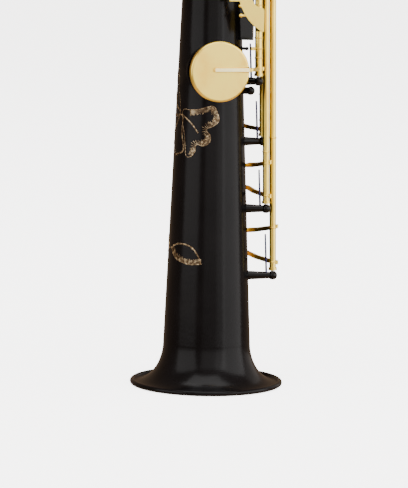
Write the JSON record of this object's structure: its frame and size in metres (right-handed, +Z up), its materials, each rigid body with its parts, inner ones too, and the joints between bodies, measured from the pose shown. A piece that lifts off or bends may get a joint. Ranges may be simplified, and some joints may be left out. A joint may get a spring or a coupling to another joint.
{
  "type": "soprano saxophone",
  "caption": "Straight soprano saxophone: black lacquered conical body with flared bell, pale gold keywork on posts, detachable neck, mouthpiece and reed.",
  "frame": {"origin": "centre of the bell rim, in the plane that the rim stands on", "axes": "+Z up along the tube from bell to mouthpiece, -Y towards the stack keys, +X towards the long low-key hinge tubes"},
  "size_m": [0.0968, 0.0924, 0.7052],
  "materials": {
    "body_lacquer": "gloss black lacquer over brass, with engraved foliage on the bell",
    "post_lacquer": "gloss black lacquer",
    "gold_lacquer": "polished brass under pale champagne gold lacquer",
    "screw_brass": "polished turned brass",
    "hinge_steel": "ground steel rod",
    "spring_steel": "heat-blued steel needle",
    "pad_leather": "brown kid leather",
    "pearl": "polished mother-of-pearl",
    "black_plastic": "moulded black plastic",
    "cork": "sanded cork sheet",
    "ebonite": "turned and polished hard rubber",
    "cane": "cut cane with a scraped vamp"
  },
  "bodies": {
    "body": {"bell": "body_lacquer", "body_tube": "body_lacquer", "posts": "post_lacquer", "hinge_rods": "hinge_steel", "needle_springs": "spring_steel", "neck_receiver": "gold_lacquer", "thumb_hook": "gold_lacquer", "thumb_hook_screw": "screw_brass", "thumb_rest": "black_plastic", "strap_ring": "gold_lacquer"},
    "clamp screw": {"clamp_screw": "screw_brass"},
    "neck": {"neck_tube": "gold_lacquer", "neck_cork": "cork"},
    "mouthpiece": {"mouthpiece": "ebonite", "reed": "cane", "ligature": "gold_lacquer", "ligature_screws": "screw_brass"},
    "low B flat key": {"low_bflat_key": "gold_lacquer", "low_bflat_pad": "pad_leather"},
    "low B key": {"low_b_key": "gold_lacquer", "low_b_pad": "pad_leather"},
    "low C sharp key": {"low_csharp_key": "gold_lacquer", "low_csharp_pad": "pad_leather"},
    "low C key": {"low_c_key": "gold_lacquer", "low_c_pad": "pad_leather"},
    "E flat key": {"eflat_key": "gold_lacquer", "eflat_pad": "pad_leather"},
    "D key": {"d_key": "gold_lacquer", "d_pad": "pad_leather", "d_pearl": "pearl"},
    "E key": {"e_key": "gold_lacquer", "e_pad": "pad_leather", "e_pearl": "pearl"},
    "F key": {"f_key": "gold_lacquer", "f_pad": "pad_leather", "f_pearl": "pearl"},
    "F sharp key": {"fsharp_key": "gold_lacquer", "fsharp_pad": "pad_leather"},
    "G sharp key": {"gsharp_key": "gold_lacquer", "gsharp_pad": "pad_leather"},
    "G key": {"g_key": "gold_lacquer", "g_pad": "pad_leather", "g_pearl": "pearl"},
    "A key": {"a_key": "gold_lacquer", "a_pad": "pad_leather", "a_pearl": "pearl"},
    "B key": {"b_key": "gold_lacquer", "b_pad": "pad_leather", "b_pearl": "pearl"},
    "palm D key": {"palm_d_key": "gold_lacquer"},
    "palm E flat key": {"palm_eflat_key": "gold_lacquer"},
    "palm F key": {"palm_f_key": "gold_lacquer"},
    "side B flat key": {"side_bflat_key": "gold_lacquer"},
    "side C key": {"side_c_key": "gold_lacquer"},
    "side E key": {"side_e_key": "gold_lacquer"},
    "octave key": {"octave_key": "gold_lacquer"},
    "lower vent key": {"lower_vent_key": "gold_lacquer"},
    "pinky roller": {"pinky_roller": "black_plastic"}
  },
  "joints": [
    {"name": "clamp screw turn", "type": "hinge", "parent": "body", "child": "clamp screw", "pos_m": [0, 0.0129, 0.605], "axis": [1, 0, 0], "range_deg": [-180, 45]},
    {"name": "neck turn", "type": "hinge", "parent": "body", "child": "neck", "pos_m": [0, 0, 0.608], "axis": [0, 0, 1], "range_deg": [-60, 60]},
    {"name": "mouthpiece tuning slide", "type": "slide", "parent": "neck", "child": "mouthpiece", "axis": [0, 0, 1], "range_m": [-0.002, 0.022]},
    {"name": "low B flat key hinge", "type": "hinge", "parent": "body", "child": "low B flat key", "pos_m": [0.03921, 0.004, 0.085], "axis": [-0.0169, 0.0005, 0.9999], "range_deg": [0, 9], "stiffness_Nm_per_rad": 0.12},
    {"name": "low B key hinge", "type": "hinge", "parent": "body", "child": "low B key", "pos_m": [0.03436, -0.00149, 0.125], "axis": [-0.0171, 0.0005, 0.9999], "range_deg": [0, 9], "stiffness_Nm_per_rad": 0.12},
    {"name": "low C sharp key hinge", "type": "hinge", "parent": "body", "child": "low C sharp key", "pos_m": [0.03181, 0.005, 0.161], "axis": [-0.0171, 0.0005, 0.9999], "range_deg": [-9, 0], "stiffness_Nm_per_rad": 0.1},
    {"name": "low C key hinge", "type": "hinge", "parent": "body", "child": "low C key", "pos_m": [0.02868, -0.009, 0.191], "axis": [-0.016, 0.001, 0.9999], "range_deg": [-12, 0], "stiffness_Nm_per_rad": 0.06},
    {"name": "E flat key hinge", "type": "hinge", "parent": "body", "child": "E flat key", "pos_m": [-0.01343, -0.01849, 0.243], "axis": [0.0164, 0.0225, 0.9996], "range_deg": [0, 12], "stiffness_Nm_per_rad": 0.05},
    {"name": "D key hinge", "type": "hinge", "parent": "body", "child": "D key", "pos_m": [0.01935, -0.00944, 0.269], "axis": [-0.025, 0.0122, 0.9996], "range_deg": [-14, 0], "stiffness_Nm_per_rad": 0.03},
    {"name": "E key hinge", "type": "hinge", "parent": "body", "child": "E key", "pos_m": [0.01857, -0.00906, 0.3], "axis": [-0.025, 0.0122, 0.9996], "range_deg": [-14, 0], "stiffness_Nm_per_rad": 0.03},
    {"name": "F key hinge", "type": "hinge", "parent": "body", "child": "F key", "pos_m": [0.01782, -0.00869, 0.33], "axis": [-0.025, 0.0122, 0.9996], "range_deg": [-14, 0], "stiffness_Nm_per_rad": 0.03},
    {"name": "F sharp key hinge", "type": "hinge", "parent": "body", "child": "F sharp key", "pos_m": [0.01712, -0.00835, 0.358], "axis": [-0.025, 0.0122, 0.9996], "range_deg": [-14, 0], "stiffness_Nm_per_rad": 0.03},
    {"name": "G sharp key hinge", "type": "hinge", "parent": "body", "child": "G sharp key", "pos_m": [0.00193, -0.01836, 0.386], "axis": [-0.0029, 0.0277, 0.9996], "range_deg": [0, 12], "stiffness_Nm_per_rad": 0.03},
    {"name": "G key hinge", "type": "hinge", "parent": "body", "child": "G key", "pos_m": [0.01351, -0.01055, 0.412], "axis": [-0.022, 0.0172, 0.9996], "range_deg": [-14, 0], "stiffness_Nm_per_rad": 0.02},
    {"name": "A key hinge", "type": "hinge", "parent": "body", "child": "A key", "pos_m": [0.01289, -0.01007, 0.44], "axis": [-0.022, 0.0172, 0.9996], "range_deg": [-14, 0], "stiffness_Nm_per_rad": 0.02},
    {"name": "B key hinge", "type": "hinge", "parent": "body", "child": "B key", "pos_m": [0.01232, -0.00962, 0.466], "axis": [-0.022, 0.0172, 0.9996], "range_deg": [-14, 0], "stiffness_Nm_per_rad": 0.02},
    {"name": "palm D key hinge", "type": "hinge", "parent": "body", "child": "palm D key", "pos_m": [0.01596, -0.00168, 0.48], "axis": [-0.0277, 0.0029, 0.9996], "range_deg": [0, 14], "stiffness_Nm_per_rad": 0.03},
    {"name": "palm E flat key hinge", "type": "hinge", "parent": "body", "child": "palm E flat key", "pos_m": [0.01481, 0.00453, 0.5], "axis": [-0.0266, -0.0081, 0.9996], "range_deg": [0, 14], "stiffness_Nm_per_rad": 0.03},
    {"name": "palm F key hinge", "type": "hinge", "parent": "body", "child": "palm F key", "pos_m": [0.01144, 0.0096, 0.52], "axis": [-0.0213, -0.0179, 0.9996], "range_deg": [0, 14], "stiffness_Nm_per_rad": 0.03},
    {"name": "side B flat key hinge", "type": "hinge", "parent": "body", "child": "side B flat key", "pos_m": [-0.01673, 0.00544, 0.41], "axis": [0.0265, -0.0086, 0.9996], "range_deg": [-14, 0], "stiffness_Nm_per_rad": 0.03},
    {"name": "side C key hinge", "type": "hinge", "parent": "body", "child": "side C key", "pos_m": [-0.01284, 0.01077, 0.44], "axis": [0.0213, -0.0179, 0.9996], "range_deg": [-14, 0], "stiffness_Nm_per_rad": 0.03},
    {"name": "side E key hinge", "type": "hinge", "parent": "body", "child": "side E key", "pos_m": [-0.00734, 0.01381, 0.48], "axis": [0.0131, -0.0246, 0.9996], "range_deg": [-14, 0], "stiffness_Nm_per_rad": 0.03},
    {"name": "octave key hinge", "type": "hinge", "parent": "body", "child": "octave key", "pos_m": [-0.0021, 0.01494, 0.5], "axis": [0.0039, -0.0276, 0.9996], "range_deg": [-12, 0], "stiffness_Nm_per_rad": 0.03},
    {"name": "lower vent key hinge", "type": "hinge", "parent": "body", "child": "lower vent key", "pos_m": [0.00615, 0.01522, 0.445], "axis": [-0.0104, -0.0258, 0.9996], "range_deg": [0, 12], "stiffness_Nm_per_rad": 0.01},
    {"name": "pinky roller turn", "type": "hinge", "parent": "low C key", "child": "pinky roller", "pos_m": [0.0117, -0.02461, 0.23855], "axis": [-0.0001, 0.0033, 1], "continuous": true}
  ],
  "couplings": [
    {"joint": "F sharp key hinge", "follows": "F key hinge", "ratio": 1},
    {"joint": "lower vent key hinge", "follows": "octave key hinge", "ratio": -1}
  ]
}
